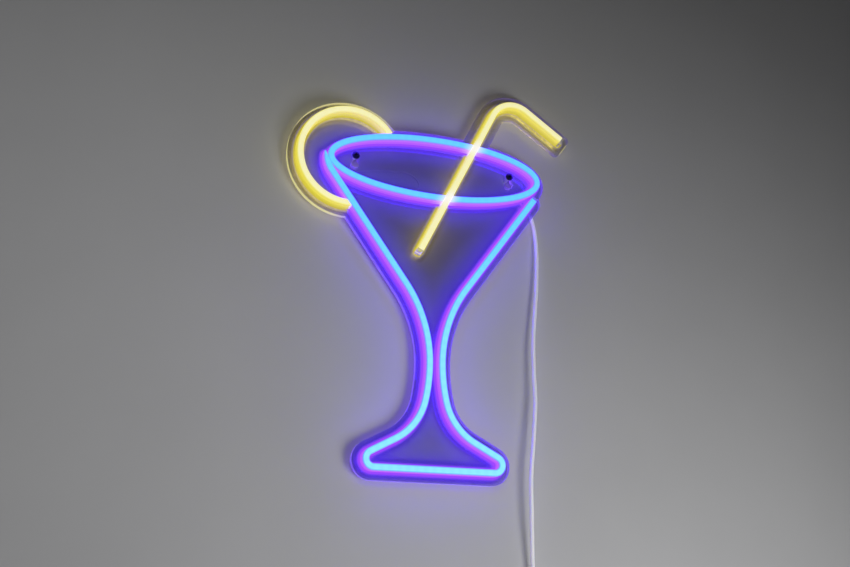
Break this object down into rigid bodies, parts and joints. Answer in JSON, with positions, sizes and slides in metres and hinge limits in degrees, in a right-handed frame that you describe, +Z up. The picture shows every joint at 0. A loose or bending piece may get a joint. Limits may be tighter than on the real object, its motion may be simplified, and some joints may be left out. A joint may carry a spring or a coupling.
{
  "type": "neon sign",
  "caption": "Wall-hung light sign: LED flex strips on a clear contour-cut panel draw a cocktail glass with a lemon slice and a straw, on a low-voltage lead with an in-line switch.",
  "frame": {"origin": "on the wall, midway between the two wall screws", "axes": "+Z up, +X to the viewer's right, -Y out of the wall towards the viewer"},
  "size_m": [0.2943, 0.046, 0.6549],
  "materials": {
    "black_screw": "satin black",
    "clear_acrylic": "clear, polished",
    "blue_silicone": "translucent, lit from inside",
    "yellow_silicone": "translucent, lit from inside",
    "blue_front": "milky, glowing ice blue",
    "yellow_front": "milky, glowing warm white",
    "led_tape": "white flexible board",
    "blue_led": "moulded LED package",
    "yellow_led": "moulded LED package",
    "clear_silicone": "clear, glossy",
    "wire_jacket": "clear jacket",
    "white_sleeve": "shrunk sleeve",
    "lead_jacket": "white soft jacket",
    "switch_white": "moulded, fine texture",
    "rocker_white": "moulded gloss",
    "steel": "zinc plated",
    "lead_rubber": "soft matt",
    "contact_brass": "stamped",
    "tie_fabric": "hook and loop tape",
    "plug_white": "moulded, fine texture",
    "plug_steel": "folded sheet",
    "plug_insert": "moulded",
    "contact_gold": "gold plated"
  },
  "bodies": {
    "wall_fixings": {"wall_screws": "black_screw"},
    "sign": {"acrylic_panel": "clear_acrylic", "rim_left_sleeve": "blue_silicone", "rim_right_sleeve": "blue_silicone", "glass_sleeve": "blue_silicone", "lemon_sleeve": "yellow_silicone", "straw_sleeve": "yellow_silicone", "rim_left_diffuser": "blue_front", "rim_right_diffuser": "blue_front", "glass_diffuser": "blue_front", "lemon_diffuser": "yellow_front", "straw_diffuser": "yellow_front", "rim_left_tape": "led_tape", "rim_right_tape": "led_tape", "glass_tape": "led_tape", "lemon_tape": "led_tape", "straw_tape": "led_tape", "rim_left_leds": "blue_led", "rim_right_leds": "blue_led", "glass_leds": "blue_led", "lemon_leds": "yellow_led", "straw_leds": "yellow_led", "end_caps": "clear_silicone", "feed_wires": "wire_jacket", "rim_jumpers": "wire_jacket", "lemon_jumper": "wire_jacket", "splice_sleeve": "white_sleeve", "lead_clip": "clear_silicone", "cord_drop": "lead_jacket", "switch_rear_shell": "switch_white", "switch_front_shell": "switch_white", "switch_screws": "steel", "switch_grommets": "lead_rubber", "switch_contacts": "contact_brass", "cord_link": "lead_jacket", "cord_coil": "lead_jacket", "coil_tie": "tie_fabric", "cord_tail": "lead_jacket", "plug_grip": "plug_white", "plug_shell": "plug_steel", "plug_tongue": "plug_insert", "plug_contacts": "contact_gold"},
    "switch_rocker": {"rocker": "rocker_white", "rocker_bridge": "contact_brass"}
  },
  "joints": [
    {"name": "sign_lift", "type": "slide", "parent": "wall_fixings", "child": "sign", "axis": [0, 0, 1], "range_m": [0, 0.008]},
    {"name": "rocker_tilt", "type": "hinge", "parent": "sign", "child": "switch_rocker", "pos_m": [0.0985, -0.0105, -0.425], "axis": [1, 0, 0], "range_deg": [0, 24]}
  ]
}
